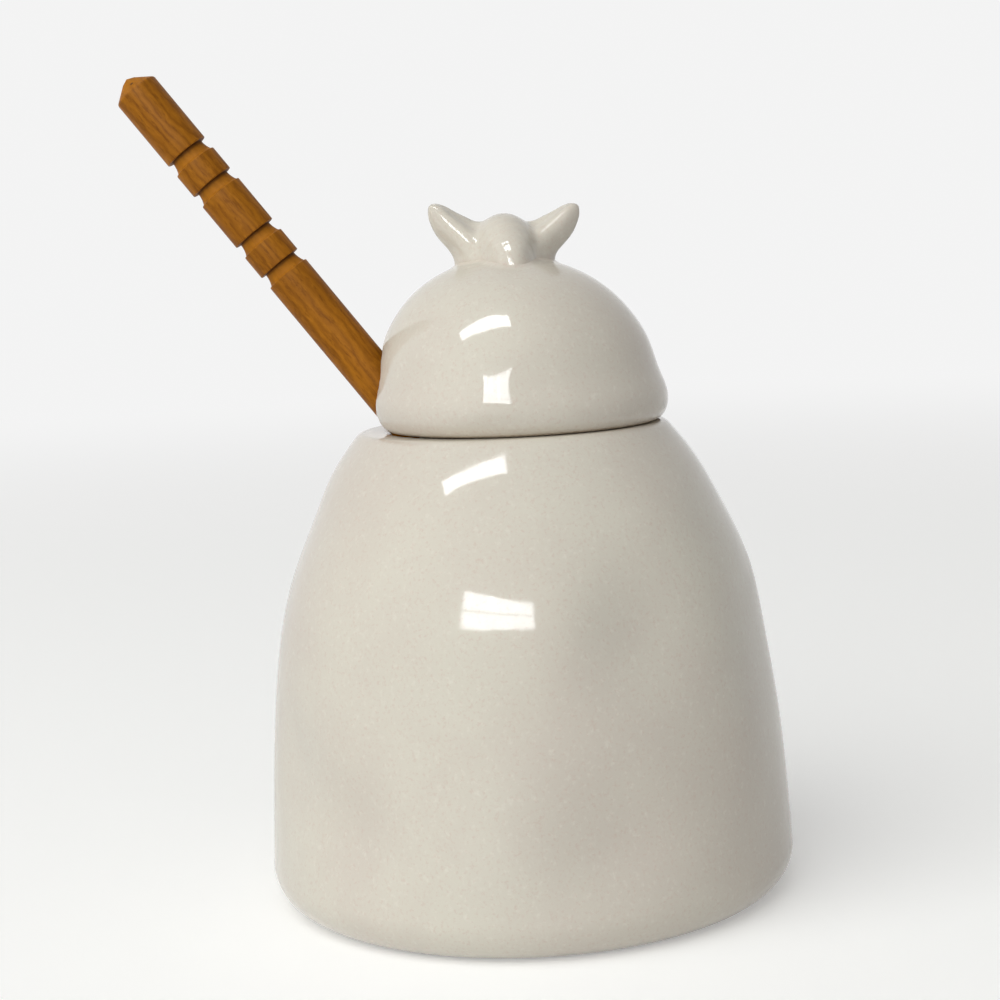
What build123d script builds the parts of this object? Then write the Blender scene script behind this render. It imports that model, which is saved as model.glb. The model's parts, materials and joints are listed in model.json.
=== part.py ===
from build123d import *
import os
from math import cos, radians, sin, tan

# Hive-shaped ceramic honey pot: a lift-off lid with a bee finial, and a wooden dipper
# that leans out through a notch in the lid.
# Millimetres, +Z up. The origin is on the table, under the middle of the foot ring.
# -Y is the front, and the dipper leans out towards -X.

# ---------------------------------------------------------------- driving dimensions
# pot
pot_radius = 52.0           # widest, just above the foot
pot_height = 92.3           # table to the top of the rim
rim_radius = 30.0           # where the side would meet the rim plane, before rounding
rim_round = 2.5             # outer edge of the rim
mouth_radius = 23.8
lip_round = 1.5             # inner edge of the rim, where the dipper rests
lip_under_round = 1.2       # edge under the lip
lip_thickness = 4.6
pot_wall = 4.5
floor_thickness = 4.8
foot_corner = 7.8           # round turn from the side into the foot
inner_corner = 6.0          # round turn from the side into the floor, inside
foot_ring_width = 5.0       # flat ring that stands on the table
foot_recess = 1.2           # hollow under the floor, inside the foot ring
# places up the side at which the wall's thickness is set off
wall_shares = [0.2, 0.4, 0.6, 0.8, 1.0]
# side of the hive: (height share, radius share) between the foot corner and the rim
hive_side = [(0.239, 0.950), (0.523, 0.836), (0.665, 0.714), (0.807, 0.473), (0.925, 0.223)]

# lid
lid_shift = 2.2             # the dipper pushes the lid this far towards +X
lid_lean = 3.6              # degrees, the middles of its level circles lean towards -X
lid_radius = 28.85          # widest, near the bottom edge
lid_widest = 4.7            # height of the widest place above the rim
lid_height = 32.9           # rim to the top of the dome
lid_wall = 4.2
lid_edge_width = 3.1        # rounding of the bottom edge, up to the widest place
seat_thickness = 4.0        # ring of the lid that rests on the rim
flange_wall = 3.0
throat_reach = 8.0          # cut through the locating ring and on into the hollow
flange_depth = 5.0          # reach of the locating ring into the mouth
flange_round = 0.8
lid_clearance = 0.3         # flange to mouth
seat_gap = 0.05             # lid to rim
notch_clearance = 2.0       # notch to dipper, all round
notch_reach = 30.0          # cut along the dipper, past the lid's wall both ways
# dome of the lid: (height share, radius share) between the widest place and the top
dome_side = [(0.160, 0.963), (0.390, 0.905), (0.585, 0.805), (0.745, 0.670), (0.876, 0.487)]
# shares of the way along the bottom edge, and up the dome's side, that get a level circle
edge_circles = [0.0, 0.25, 0.5, 0.75]
dome_circles = [0.0, 0.2, 0.4, 0.55, 0.7, 0.82, 0.91, 0.97]
hollow_rise = 1.0           # widest place of the hollow, above that of the outside

# bee finial, luted to the top of the lid
bee_x = 0.7                 # middle of the bee, across the lid
bee_roll = 2.6              # degrees, the right wing stands a little lower
bee_length = 16.4
bee_radius = 5.4
bee_rise = 2.05             # middle of the body above the top of the dome
bee_nod = 25.0              # degrees, the tail points down towards the front
bee_head_radius = 3.3
bee_head_drop = 3.2         # the head bows below the front end of the body
tail_point = 0.3            # how pointed the tail is: 0 is round
pad_width = 19.6            # clay pad that joins the bee to the dome
pad_depth = 11.0
pad_rise = 1.0
wing_root = (4.5, 1.6)      # middle of the root, from the middle of the dome's top
wing_bend = (9.6, 5.0)
wing_tip = (13.9, 9.9)
wing_width = 8.6            # across the root, seen from the front
wing_depth = 10.5           # front to back at the root
# outline of the body: (share of the length, share of the radius), head end to tail
bee_side = [(0.20, 0.86), (0.48, 1.0), (0.78, 0.70)]
# taper of a wing: (share of its length, share of its width)
wing_taper = [(0.0, 1.0), (0.25, 0.98), (0.55, 0.76), (0.75, 0.57), (0.91, 0.38), (1.0, 0.13)]

# dipper
dipper_lean = 36.6          # degrees from upright
dipper_length = 185.0
handle_radius = 4.5
tip_cone = 3.0              # height of the blunt cone at the end of the handle
groove_width = 2.5
groove_depth = 1.0
groove_lip = 0.35           # step left where the groove runs out
groove_pitch = 7.55         # between the two grooves of a pair
groove_pairs = [17.9, 38.1]  # tip to the first groove of each pair
head_length = 38.0
head_radius = 12.0          # widest rib
head_end_radius = 9.5       # first and last rib
head_core = 6.0
rib_count = 7
rib_thickness = 2.6
rib_round = 1.0
tenon_radius = 3.0
tenon_length = 14.0
glue_line = 0.05
rest_clearance = 0.3        # dipper to rim and to pot wall
slide_step = 0.05           # fineness with which the dipper is let down to its place

# ---------------------------------------------------------------- shared places
lid_base = pot_height + seat_gap
foot_outer = pot_radius - foot_corner
foot_inner = foot_outer - foot_ring_width
flange_radius = mouth_radius - lid_shift - lid_clearance
floor_top = foot_recess + floor_thickness
notch_radius = handle_radius + notch_clearance

lean = radians(dipper_lean)
dipper_up = Vector(-sin(lean), 0, cos(lean))
dipper_side = Vector(cos(lean), 0, sin(lean))
lip_centre = Vector(-(mouth_radius + lip_round), 0, pot_height - lip_round)
rest_point = lip_centre + dipper_side * (lip_round + handle_radius + rest_clearance)


def share_points(shares, widest, narrow, low, high):
    """Turn (height share, radius share) pairs into points of an outline."""
    return [(narrow + (widest - narrow) * wide, low + (high - low) * up) for up, wide in shares]


def inset(curve, share, distance):
    """Point at a distance inside an outline that runs upwards round the +Y axis."""
    point, along = curve @ share, curve % share
    return (point.X - distance * along.Y, point.Y + distance * along.X)


# ---------------------------------------------------------------- pot
with BuildLine() as outer_side:
    side = Spline(
        (pot_radius, foot_corner),
        *share_points(hive_side, pot_radius, rim_radius, foot_corner, pot_height),
        (rim_radius, pot_height),
    )

inner_radius = pot_radius - pot_wall
with BuildLine() as cavity_line:
    floor_line = Line((0, floor_top), (inner_radius - inner_corner, floor_top))
    corner_arc = JernArc(floor_line @ 1, (1, 0), inner_corner, 90)
    inner_side = Spline(
        corner_arc @ 1,
        *[inset(side, share, pot_wall) for share in wall_shares],
        tangents=[(0, 1), side % 1],
    )

with BuildPart() as pot:
    with BuildSketch(Plane.XZ) as pot_section:
        with BuildLine():
            add(side)
            Polyline(side @ 1, (0, pot_height), (0, foot_recess),
                     (foot_inner - foot_recess, foot_recess), (foot_inner, 0), (foot_outer, 0))
            JernArc((foot_outer, 0), (1, 0), foot_corner, 90)
        make_face()
        rim_edge = pot_section.vertices().sort_by_distance((rim_radius, pot_height))[0]
        fillet(rim_edge, rim_round)
        with BuildSketch(mode=Mode.PRIVATE) as cavity:
            with BuildLine():
                add(cavity_line.line)
                Polyline(inner_side @ 1, (0, (inner_side @ 1).Y), (0, floor_top))
            make_face()
            Rectangle(2 * pot_radius, pot_height - lip_thickness,
                      align=(Align.CENTER, Align.MIN), mode=Mode.INTERSECT)
        add(cavity.sketch, mode=Mode.SUBTRACT)
        with Locations((0, floor_top)):
            Rectangle(mouth_radius, pot_height, align=(Align.MIN, Align.MIN), mode=Mode.SUBTRACT)
        lip_edge = pot_section.vertices().sort_by_distance((mouth_radius, pot_height))[0]
        fillet(lip_edge, lip_round)
        under_edge = pot_section.vertices().sort_by_distance(
            (mouth_radius, pot_height - lip_thickness))[0]
        fillet(under_edge, lip_under_round)
    revolve(axis=Axis.Z)
pot.part.label = "pot"

# ---------------------------------------------------------------- dipper's place in the pot
cavity_wire = Wire(cavity_line.edges())


def head_gap(depth):
    """Gap between the pot and the head's end when the end is this far below the rest point."""
    end_point = rest_point - dipper_up * depth
    gaps = []
    for side_sign in (-1, 1):
        corner = end_point + dipper_up * rib_round
        corner += dipper_side * side_sign * (head_end_radius - rib_round)
        gaps.append(cavity_wire.distance_to(Vertex(abs(corner.X), corner.Z, 0)) - rib_round)
    return min(gaps)


# let the head down, from where it is all inside the pot, until it nearly meets the wall
end_depth = head_length
while head_gap(end_depth + slide_step) > rest_clearance:
    end_depth += slide_step
dipper_end = rest_point - dipper_up * end_depth
dipper_plane = Plane(origin=dipper_end, x_dir=dipper_side, z_dir=(0, -1, 0))
dipper_axis = Axis(dipper_end, dipper_up)
head_rib_pitch = (head_length - rib_thickness) / rib_count

# ---------------------------------------------------------------- dipper head
with BuildPart() as dipper_head:
    with BuildSketch(dipper_plane) as head_section:
        Rectangle(head_core, head_length, align=(Align.MIN, Align.MIN))
        for rib in range(rib_count):
            bulge = 1 - (2 * rib / (rib_count - 1) - 1) ** 2
            rib_radius = head_end_radius + (head_radius - head_end_radius) * bulge
            with Locations((0, rib * head_rib_pitch)):
                Rectangle(rib_radius, rib_thickness, align=(Align.MIN, Align.MIN))
        rib_corners = head_section.vertices().filter_by(lambda v: v.X > head_core + rib_round)
        fillet(rib_corners, rib_round)
        collar_edge = head_section.vertices().sort_by_distance((head_core, head_length))[0]
        fillet(collar_edge, rib_round)
        with Locations((0, head_length)):
            Rectangle(tenon_radius + glue_line, 2 * (tenon_length + glue_line),
                      align=(Align.MIN, Align.CENTER), mode=Mode.SUBTRACT)
    revolve(axis=dipper_axis)
dipper_head.part.label = "dipper_head"

# ---------------------------------------------------------------- dipper handle
with BuildPart() as dipper_handle:
    with BuildSketch(dipper_plane) as handle_section:
        with BuildLine():
            Polyline(
                (0, head_length - tenon_length),
                (tenon_radius, head_length - tenon_length),
                (tenon_radius, head_length),
                (handle_radius, head_length),
                (handle_radius, dipper_length - tip_cone),
                (0, dipper_length),
                close=True,
            )
        make_face()
        for pair in groove_pairs:
            for groove_start in (pair, pair + groove_pitch):
                top = dipper_length - groove_start
                with BuildLine():
                    shoulder = Line((handle_radius, top), (handle_radius - groove_depth, top))
                    run_out = (handle_radius - groove_lip, top - groove_width)
                    TangentArc(shoulder @ 1, run_out, tangent=(0, -1))
                    Polyline(run_out, (handle_radius, top - groove_width), shoulder @ 0)
                make_face(mode=Mode.SUBTRACT)
    revolve(axis=dipper_axis)
dipper_handle.part.label = "dipper_handle"

# ---------------------------------------------------------------- lid
lean_share = tan(radians(lid_lean))


def crown_points(radius, widest_height, top):
    """Points up the side of a dome, from its widest place nearly to its top."""
    crown = Spline(
        (radius, widest_height),
        *share_points(dome_side, radius, 0, widest_height, top),
        (0, top),
        tangents=[(0, 1), (-1, 0)],
        mode=Mode.PRIVATE,
    )
    return [crown @ share for share in dome_circles]


def leaning_dome(points):
    """Solid of level circles whose middles lean towards -X; a point is a radius and a height."""
    with BuildPart(mode=Mode.PRIVATE) as leaning:
        for point in points:
            with BuildSketch(Plane.XY.offset(lid_base + point.Y)):
                with Locations((lid_shift - lean_share * point.Y, 0)):
                    Circle(point.X)
        loft()
    return leaning.part


with BuildLine() as lid_edge_line:
    lid_edge = EllipticalCenterArc(
        (lid_radius - lid_edge_width, lid_widest), lid_edge_width, lid_widest,
        start_angle=-90, arc_size=90,
    )
edge_points = [lid_edge @ share for share in edge_circles]

with BuildPart() as dome:
    add(leaning_dome(edge_points + crown_points(lid_radius, lid_widest, lid_height)))

with BuildPart() as lid:
    add(dome.part)
    with BuildSketch(Plane.XY.offset(lid_base)):
        with Locations((lid_shift, 0)):
            Circle(flange_radius)
    extrude(amount=-flange_depth)
    fillet(lid.edges().group_by(Axis.Z)[0], flange_round)
    hollow_radius = lid_radius - lid_wall
    hollow_points = crown_points(hollow_radius, lid_widest + hollow_rise, lid_height - lid_wall)
    add(leaning_dome([Vector(hollow_radius, seat_thickness), *hollow_points]), mode=Mode.SUBTRACT)
    with BuildSketch(Plane.XY.offset(lid_base - flange_depth)):
        with Locations((lid_shift, 0)):
            Circle(flange_radius - flange_wall)
    extrude(amount=flange_depth + throat_reach, mode=Mode.SUBTRACT)
    with BuildSketch(Plane.XZ):
        inner_end = rest_point - dipper_up * notch_reach
        outer_end = rest_point + dipper_up * notch_reach
        with BuildLine():
            Polyline((inner_end.X, inner_end.Z), (outer_end.X, outer_end.Z),
                     (outer_end.X, inner_end.Z), close=True)
        make_face()
    extrude(amount=notch_radius, both=True, mode=Mode.SUBTRACT)
    with BuildSketch(Plane(origin=rest_point, x_dir=dipper_side, z_dir=dipper_up)):
        Circle(notch_radius)
    extrude(amount=notch_reach, both=True, mode=Mode.SUBTRACT)
lid.part.label = "lid"

# ---------------------------------------------------------------- bee finial
dome_top = lid_base + lid_height
roll = radians(bee_roll)
bee_plane = Plane(origin=(bee_x, 0, dome_top), x_dir=(cos(roll), 0, -sin(roll)), z_dir=(0, -1, 0))
nod = radians(bee_nod)
body_middle = bee_plane.from_local_coords((0, bee_rise, 0))
tail_way = Vector(0, -cos(nod), -sin(nod))
body_plane = Plane(origin=body_middle - tail_way * bee_length / 2, x_dir=tail_way, z_dir=(1, 0, 0))

with BuildPart() as bee_finial:
    with BuildSketch(body_plane):
        with BuildLine():
            back = Spline(
                (0, 0),
                *[(along * bee_length, wide * bee_radius) for along, wide in bee_side],
                (bee_length, 0),
                tangents=[(0, 1), (tail_point, -1)],
            )
            Line(back @ 1, back @ 0)
        make_face()
    revolve(axis=Axis(body_plane.origin, tail_way))
    with Locations(body_plane.origin - Vector(0, 0, bee_head_drop)):
        Sphere(bee_head_radius)
    with BuildSketch(Plane.XY.offset(dome_top + pad_rise)):
        with Locations((bee_x, 0)):
            Ellipse(pad_width / 2, pad_depth / 2)
    extrude(amount=-lid_wall)
    for hand in (-1, 1):
        with BuildLine(bee_plane) as wing_line:
            middle_line = Spline(*[(hand * x, y) for x, y in (wing_root, wing_bend, wing_tip)])
        for along, wide in wing_taper:
            across = Plane(origin=middle_line @ along, x_dir=(0, 1, 0), z_dir=middle_line % along)
            with BuildSketch(across):
                Ellipse(wide * wing_depth / 2, wide * wing_width / 2)
        loft()
    add(dome.part, mode=Mode.SUBTRACT)
bee_finial.part.label = "bee_finial"

os.makedirs("parts", exist_ok=True)
for piece in (pot, lid, bee_finial, dipper_handle, dipper_head):
    export_step(piece.part, f"parts/{piece.part.label}.step")
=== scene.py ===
"""Dress for a hive-shaped honey pot: glazed pot, domed lid with a bee, and a wooden dipper."""

import json
import math

import bmesh
import bpy
import numpy as np
from mathutils import Matrix, Vector, noise
from mathutils.bvhtree import BVHTree

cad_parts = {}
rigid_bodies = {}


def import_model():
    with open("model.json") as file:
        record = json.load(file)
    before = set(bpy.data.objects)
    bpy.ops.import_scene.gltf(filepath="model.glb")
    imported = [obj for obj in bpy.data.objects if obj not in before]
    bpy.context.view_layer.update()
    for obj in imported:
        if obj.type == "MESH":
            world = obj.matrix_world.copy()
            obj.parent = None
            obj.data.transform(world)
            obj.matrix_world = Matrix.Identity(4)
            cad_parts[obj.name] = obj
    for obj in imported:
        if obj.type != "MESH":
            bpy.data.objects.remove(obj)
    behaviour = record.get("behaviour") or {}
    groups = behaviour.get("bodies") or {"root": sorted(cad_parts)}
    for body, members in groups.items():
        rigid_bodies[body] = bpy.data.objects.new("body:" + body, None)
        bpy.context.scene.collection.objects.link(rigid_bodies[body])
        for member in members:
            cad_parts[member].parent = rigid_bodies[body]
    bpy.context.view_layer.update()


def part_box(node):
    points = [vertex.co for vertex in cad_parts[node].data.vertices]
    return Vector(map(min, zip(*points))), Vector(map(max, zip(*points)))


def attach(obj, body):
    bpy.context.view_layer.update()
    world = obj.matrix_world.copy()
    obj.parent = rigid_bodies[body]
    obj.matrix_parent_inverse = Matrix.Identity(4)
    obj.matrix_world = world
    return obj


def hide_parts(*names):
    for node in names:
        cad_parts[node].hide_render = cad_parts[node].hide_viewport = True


bl_info = {
    "name": "Hive Honey Pot",
    "version": (1, 0, 0),
    "blender": (4, 5, 0),
    "location": "View3D > Sidebar > Honey Pot",
    "description": "Builds a glazed hive honey pot with a bee lid and a turned dipper",
    "category": "Object",
}

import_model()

MM = 0.001
POT_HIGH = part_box("pot")[1] / MM
LEAN = math.radians(36.6)
DIPPER_UP = Vector((-math.sin(LEAN), 0, math.cos(LEAN)))
DIPPER_SIDE = Vector((math.cos(LEAN), 0, math.sin(LEAN)))


# ---------------------------------------------------------------- sizes and colours
def length(name, about, default, low=0.0):
    """A size in millimetres that the panel shows."""
    return bpy.props.FloatProperty(name=name, description=about, default=default, min=low)


def colour(name, about, default):
    """A finish colour, linear."""
    return bpy.props.FloatVectorProperty(
        name=name, description=about, default=default, subtype="COLOR", size=3, min=0, max=1)


class PotSizes(bpy.types.PropertyGroup):
    """Sizes of the pot, in millimetres."""
    radius: length("Radius", "Widest radius, just above the foot", POT_HIGH.y - 0.02)
    height: length("Height", "Table to the top of the rim", 92.3)
    rim_radius: length("Rim radius", "Where the side meets the rim", 30.0)
    mouth_radius: length("Mouth radius", "Radius of the opening", 23.8)
    wall: length("Wall", "Thickness of the clay", 4.5)
    foot_corner: length("Foot corner", "Round turn from the side into the foot", 7.8)
    foot_ring: length("Foot ring", "Width of the ring that stands on the table", 5.0)
    recess: length("Recess", "Hollow under the floor, inside the foot ring", 1.2)
    floor: length("Floor", "Height of the floor inside", 6.0)
    inner_corner: length("Inner corner", "Round turn from the floor into the side", 5.8)
    lip: length("Lip", "Thickness of the lip round the mouth", 4.6)
    rim_round: length("Rim rounding", "Outer edge of the rim", 2.5)
    lip_round: length("Lip rounding", "Inner edge of the rim", 1.5)
    lip_under_round: length("Rounding under the lip", "Edge under the lip", 1.2)
    dent: bpy.props.FloatProperty(
        name="Dents", description="Share of the full depth of the gentle hollows", default=1.15)
    steps: bpy.props.IntProperty(
        name="Steps", description="Divisions round the pot", default=192, min=24)


class LidSizes(bpy.types.PropertyGroup):
    """Sizes of the lid, in millimetres."""
    shift: length("Shift", "How far the dipper pushes the lid aside", 2.2)
    lean: bpy.props.FloatProperty(
        name="Lean", description="Sideways lean of the dome", default=math.radians(3.6),
        subtype="ANGLE")
    radius: length("Radius", "Widest radius", 28.85)
    widest: length("Widest height", "Height of the widest place", 4.7)
    height: length("Height", "Rim to the top of the dome", 32.9)
    wall: length("Wall", "Thickness of the dome", 4.2)
    edge: length("Edge", "Width of the rounded bottom edge", 3.1)
    flange_radius: length("Flange radius", "Outside of the locating ring", 21.3)
    flange_depth: length("Flange depth", "Reach of the ring into the mouth", 5.0)
    flange_wall: length("Flange wall", "Thickness of the locating ring", 3.0)
    flange_round: length("Flange rounding", "Lower edges of the locating ring", 0.8)
    seat: length("Seat", "Thickness of the ring that rests on the rim", 4.0)
    notch: length("Notch radius", "Half width of the notch for the dipper", 6.5)
    grain: length("Grain", "Fineness of the remeshed clay", 0.44, 0.1)


class BeeSizes(bpy.types.PropertyGroup):
    """Sizes of the bee, in millimetres."""
    across: length("Across", "Middle of the bee, across the lid", 0.7)
    long: length("Length", "Length of the body", 19.0)
    radius: length("Radius", "Radius of the body", 5.6)
    rise: length("Rise", "Middle of the body above the dome", 1.8)
    head: length("Head radius", "Radius of the head", 3.2)
    bow: length("Bow", "How far the head bows below the body", 3.2)
    nod: bpy.props.FloatProperty(
        name="Nod", description="How far the tail points down", default=math.radians(26),
        subtype="ANGLE")
    roll: bpy.props.FloatProperty(
        name="Roll", description="How far the right wing hangs", default=math.radians(2.6),
        subtype="ANGLE")
    turn: bpy.props.FloatProperty(
        name="Turn", description="How far the tail points to the right",
        default=math.radians(9), subtype="ANGLE")
    blend: length("Blend", "Softness of the joins between body and wings", 2.3)
    settle: length("Settling", "Softness of the join where the bee meets the dome", 2.0)
    grain: length("Grain", "Fineness of the remeshed clay", 0.3, 0.1)


class DipperSizes(bpy.types.PropertyGroup):
    """Sizes of the dipper, in millimetres."""
    long: length("Length", "Whole length", 185.0)
    radius: length("Handle radius", "Radius of the handle", 4.5)
    cone: length("Tip cone", "Height of the blunt cone at the tip", 3.0)
    groove: length("Groove length", "Length of a groove along the handle", 2.5)
    groove_deep: length("Groove depth", "Deepest place of a groove", 1.0)
    groove_lip: length("Groove lip", "Step left where a groove runs out", 0.35)
    tenon: length("Tenon", "Reach of the handle into the head", 14.0)
    tenon_radius: length("Tenon radius", "Radius inside the head", 3.0)
    head_long: length("Head length", "Length of the ribbed head", 38.0)
    head_radius: length("Head radius", "Widest rib", 12.0)
    head_end: length("End rib radius", "First and last rib", 9.5)
    core: length("Core radius", "Wood between the ribs", 6.0)
    rib: length("Rib thickness", "Thickness of a rib", 2.6)
    ribs: bpy.props.IntProperty(name="Ribs", description="How many ribs", default=7, min=2)
    steps: bpy.props.IntProperty(
        name="Steps", description="Divisions round the dipper", default=72, min=16)


class Finishes(bpy.types.PropertyGroup):
    """Colours of the glaze, the bare clay, the wood and the stage."""
    glaze: colour("Glaze", "Cream glaze", (0.70, 0.66, 0.575))
    blush: colour("Blush", "Pinker drift in the glaze", (0.66, 0.60, 0.53))
    # also painted as shade in the crease where the bee meets the dome
    thin_glaze_and_crease_shade: colour("Thin glaze", "Where the glaze breaks over an edge", (0.62, 0.47, 0.40))
    clay: colour("Clay", "Bare clay of the foot ring", (0.60, 0.52, 0.42))
    wood: colour("Wood", "Oiled wood", (0.345, 0.122, 0.006))
    wood_pale: colour("Pale wood", "Fresh cut and end grain", (0.46, 0.172, 0.010))
    wood_dark: colour("Dark wood", "Late wood and pores", (0.17, 0.052, 0.002))
    floor: colour("Floor", "Pale floor", (0.80, 0.80, 0.80))


# ---------------------------------------------------------------- shader graphs
class Value:
    """A socket of a shader graph on which sums can be written."""

    def __init__(self, graph, socket):
        self.graph = graph
        self.socket = socket

    def sum(self, operation, *others):
        node = self.graph.add("ShaderNodeMath", {"operation": operation},
                              dict(enumerate((self, *others))))
        return self.graph.out(node)

    def __add__(self, other):
        return self.sum("ADD", other)

    def __mul__(self, other):
        return self.sum("MULTIPLY", other)

    def __sub__(self, other):
        return self.sum("SUBTRACT", other)

    def __pow__(self, other):
        return self.sum("POWER", other)


class Graph:
    """The node graph of a material or a world."""

    def __init__(self, owner):
        owner.use_nodes = True
        self.owner = owner
        self.tree = owner.node_tree
        self.tree.nodes.clear()

    def add(self, kind, settings=None, sockets=None):
        """Any node: its type, its settings, and the values or links of its sockets."""
        node = self.tree.nodes.new(kind)
        for key, value in (settings or {}).items():
            setattr(node, key, value)
        for key, value in (sockets or {}).items():
            socket = node.inputs[key]
            if isinstance(value, Value):
                self.tree.links.new(value.socket, socket)
            else:
                socket.default_value = (*value, 1) if socket.type == "RGBA" else value
        return node

    def out(self, node, name=0):
        return Value(self, node.outputs[name])

    def place(self, scale=(1, 1, 1), turn=(0, 0, 0), at=(0, 0, 0)):
        """Object coordinates, moved, turned and scaled."""
        coords = self.out(self.add("ShaderNodeTexCoord"), "Object")
        moved = self.add("ShaderNodeMapping", {"vector_type": "POINT"},
                         {"Vector": coords, "Location": at})
        turned = self.add("ShaderNodeMapping", {"vector_type": "POINT"},
                          {"Vector": self.out(moved), "Rotation": turn})
        return self.out(self.add("ShaderNodeMapping", {"vector_type": "POINT"},
                                 {"Vector": self.out(turned), "Scale": scale}))

    def parts(self, vector):
        """X, Y and Z of a vector."""
        node = self.add("ShaderNodeSeparateXYZ", {}, {0: vector})
        return [self.out(node, axis) for axis in "XYZ"]

    def noise(self, vector, scale, detail=2.0, rough=0.5):
        return self.out(self.add("ShaderNodeTexNoise", {}, {
            "Vector": vector, "Scale": scale, "Detail": detail, "Roughness": rough}), "Fac")

    def ease(self, value, low, high, start=0.0, end=1.0):
        """A number that runs softly from start to end as the value goes from low to high."""
        return self.out(self.add("ShaderNodeMapRange", {"interpolation_type": "SMOOTHSTEP"}, {
            "Value": value, "From Min": low, "From Max": high, "To Min": start,
            "To Max": end}))

    def mix(self, factor, first, second):
        """A colour between two colours."""
        return self.out(self.add("ShaderNodeMix", {"data_type": "RGBA"}, {
            0: factor, 6: first, 7: second}), 2)

    def marked(self, name):
        """The number that mark() kept for each vertex."""
        return self.out(self.add("ShaderNodeAttribute", {"attribute_name": name}), "Fac")

    def seen(self):
        """1 for the rays that show the pale backdrop: camera, glossy and transmission."""
        path = self.add("ShaderNodeLightPath")
        camera, glossy, clear = (self.out(path, f"Is {kind} Ray")
                                 for kind in ("Camera", "Glossy", "Transmission"))
        return camera + glossy + clear

    def bump(self, height, distance, strength=1.0, under=None):
        sockets = {"Height": height, "Distance": distance, "Strength": strength}
        if under:
            sockets["Normal"] = under
        return self.out(self.add("ShaderNodeBump", {}, sockets))

    def finish(self, **sockets):
        """The Principled surface, joined to the output."""
        names = {key.replace("_", " ").title().replace("Ior", "IOR"): value
                 for key, value in sockets.items()}
        surface = self.add("ShaderNodeBsdfPrincipled", {}, names)
        self.add("ShaderNodeOutputMaterial", {}, {"Surface": self.out(surface)})
        return self.owner


def glaze_finish(name):
    """Glossy cream glaze: soft drifts of colour, fine specks, pinholes, thin edges, and painted
    shade in the crease where the bee meets the dome.
    """
    tint = bpy.context.scene.pot_finishes
    graph = Graph(bpy.data.materials.new(name))
    spot = graph.place()
    drift = graph.noise(spot, 22, 3)
    shade = graph.mix(graph.ease(drift, 0.36, 0.68), tint.glaze, tint.blush)
    cloud = graph.noise(spot, 95, 4, 0.6)
    shade = graph.mix(graph.ease(cloud, 0.42, 0.75, 0, 0.45), shade, tint.blush)
    speck = graph.noise(spot, 1500, 2, 0.7)
    shade = graph.mix(graph.ease(speck, 0.5, 0.75, 0, 0.4), shade, tint.thin_glaze_and_crease_shade)
    pale = graph.noise(spot, 900, 2, 0.7)
    shade = graph.mix(graph.ease(pale, 0.52, 0.8, 0, 0.33), shade, (0.82, 0.79, 0.71))
    cells = graph.add("ShaderNodeTexVoronoi", {"feature": "F1"},
                      {"Vector": spot, "Scale": 62})
    rare = graph.ease(graph.noise(spot, 41, 0), 0.62, 0.66)
    pinhole = graph.ease(graph.out(cells, "Distance"), 0.012, 0.03, 1, 0) * rare
    shade = graph.mix(pinhole, shade, (0.16, 0.10, 0.06))
    # thin glaze where it breaks over edges, plus painted shade in the crease where the bee meets
    # the dome
    broken_glaze_and_crease_shade = graph.ease(graph.marked("thin_glaze_and_crease_shade") + (graph.noise(spot, 320, 3) - 0.5) * 0.5, 0.25, 0.9)
    shade = graph.mix(broken_glaze_and_crease_shade * 0.75, shade, tint.thin_glaze_and_crease_shade)
    clay_grain = graph.noise(spot, 1300, 4, 0.7)
    clay = graph.mix(graph.ease(clay_grain, 0.35, 0.7), tint.clay, (0.47, 0.39, 0.30))
    bare = graph.ease(graph.marked("bare") + (graph.noise(spot, 500, 2) - 0.5) * 0.35, 0.35, 0.65)
    shade = graph.mix(bare, shade, clay)
    gloss = graph.ease(graph.noise(spot, 180, 2), 0.3, 0.8, 0.06, 0.105)
    rough = graph.ease(bare, 0, 1, 0, 0.6) + gloss
    skin = graph.noise(spot, 210, 1, 0.4)
    normal = graph.bump(skin, 0.000045, 0.5)
    normal = graph.bump(pinhole * -1, 0.00012, 0.8, normal)
    normal = graph.bump(clay_grain * bare, 0.00008, 0.7, normal)
    return graph.finish(base_color=shade, roughness=rough, normal=normal, ior=1.5)


# near-black brown: painted shade under the groove shoulders and between the head's ribs, and the
# real centre mark at the tip
GROOVE_SHADE_AND_PIT = (0.05, 0.016, 0.004)


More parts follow.
